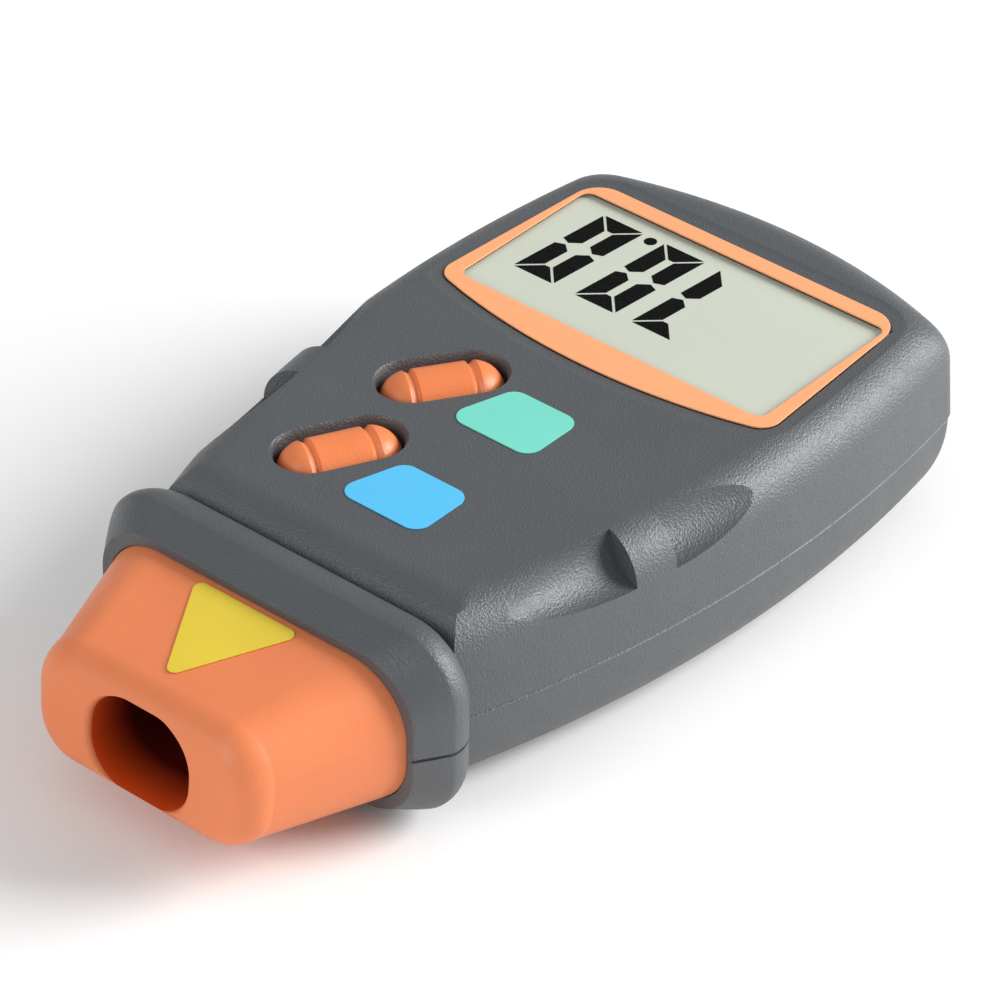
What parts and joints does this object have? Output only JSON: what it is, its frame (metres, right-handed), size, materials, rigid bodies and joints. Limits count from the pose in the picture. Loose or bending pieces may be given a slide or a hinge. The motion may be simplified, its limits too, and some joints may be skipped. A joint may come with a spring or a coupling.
{
  "type": "laser tachometer",
  "caption": "Hand-held laser tachometer with a nose cover over its optics, a framed digital display, two sprung buttons and a slide-off battery cover.",
  "frame": {"origin": "middle of the footprint, on the surface that the back rests on", "axes": "+Z out of the display face, -Y towards the nose and its light opening, +Y towards the tail"},
  "size_m": [0.07, 0.131, 0.029],
  "materials": {
    "housing_plastic": "fine texture",
    "nose_plastic": "satin",
    "button_plastic": "satin",
    "bezel_print": "printed, smooth",
    "clear_pane": "clear",
    "display_glass": "smooth",
    "holder_plastic": "matte",
    "contact_rubber": "soft",
    "board_laminate": "solder mask",
    "chip_plastic": "moulded",
    "plated_steel": "plated",
    "can_sleeve": "sleeved",
    "switch_plastic": "moulded",
    "plunger_plastic": "moulded",
    "teal_label": "printed film",
    "blue_label": "printed film",
    "yellow_sticker": "printed film",
    "dark_window": "dark red, smooth",
    "clear_lens": "polished",
    "barrel_brass": "turned",
    "dark_epoxy": "moulded",
    "ribbon_film": "film",
    "battery_case": "plain jacket",
    "snap_vinyl": "soft",
    "red_wire": "insulation",
    "black_wire": "insulation",
    "foam": "open cell foam"
  },
  "bodies": {
    "housing": {"front_shell": "housing_plastic", "rear_shell": "housing_plastic", "nose_cover": "nose_plastic", "display_bezel": "bezel_print", "display_window": "clear_pane", "lcd_panel": "display_glass", "lcd_holder": "holder_plastic", "lcd_contact_strips": "contact_rubber", "main_board": "board_laminate", "controller_chip": "chip_plastic", "crystal_can": "plated_steel", "capacitor_can": "can_sleeve", "chip_resistors": "chip_plastic", "test_switch": "switch_plastic", "mem_switch": "switch_plastic", "test_label": "teal_label", "mem_label": "blue_label", "nose_sticker": "yellow_sticker", "optics_window": "dark_window", "optics_holder": "holder_plastic", "laser_barrel": "barrel_brass", "laser_lens": "clear_lens", "laser_diode": "plated_steel", "receiver_lens": "clear_lens", "photodiode": "dark_epoxy", "sensor_board": "board_laminate", "sensor_ribbon": "ribbon_film", "ribbon_socket": "ribbon_film", "battery": "battery_case", "battery_snap": "snap_vinyl", "red_lead": "red_wire", "black_lead": "black_wire", "battery_pad": "foam", "case_screws": "plated_steel", "board_screws": "plated_steel", "optics_screws": "plated_steel"},
    "test_key": {"test_button": "button_plastic", "test_plunger": "plunger_plastic"},
    "mem_key": {"mem_button": "button_plastic", "mem_plunger": "plunger_plastic"},
    "cover": {"battery_cover": "housing_plastic"}
  },
  "joints": [
    {"name": "test_button_press", "type": "slide", "parent": "housing", "child": "test_key", "axis": [0, 0, -1], "range_m": [0, 0.0004], "stiffness_N_per_m": 4000},
    {"name": "mem_button_press", "type": "slide", "parent": "housing", "child": "mem_key", "axis": [0, 0, -1], "range_m": [0, 0.0004], "stiffness_N_per_m": 4000},
    {"name": "battery_cover_slide", "type": "slide", "parent": "housing", "child": "cover", "axis": [0, 1, 0], "range_m": [0, 0.05]}
  ]
}
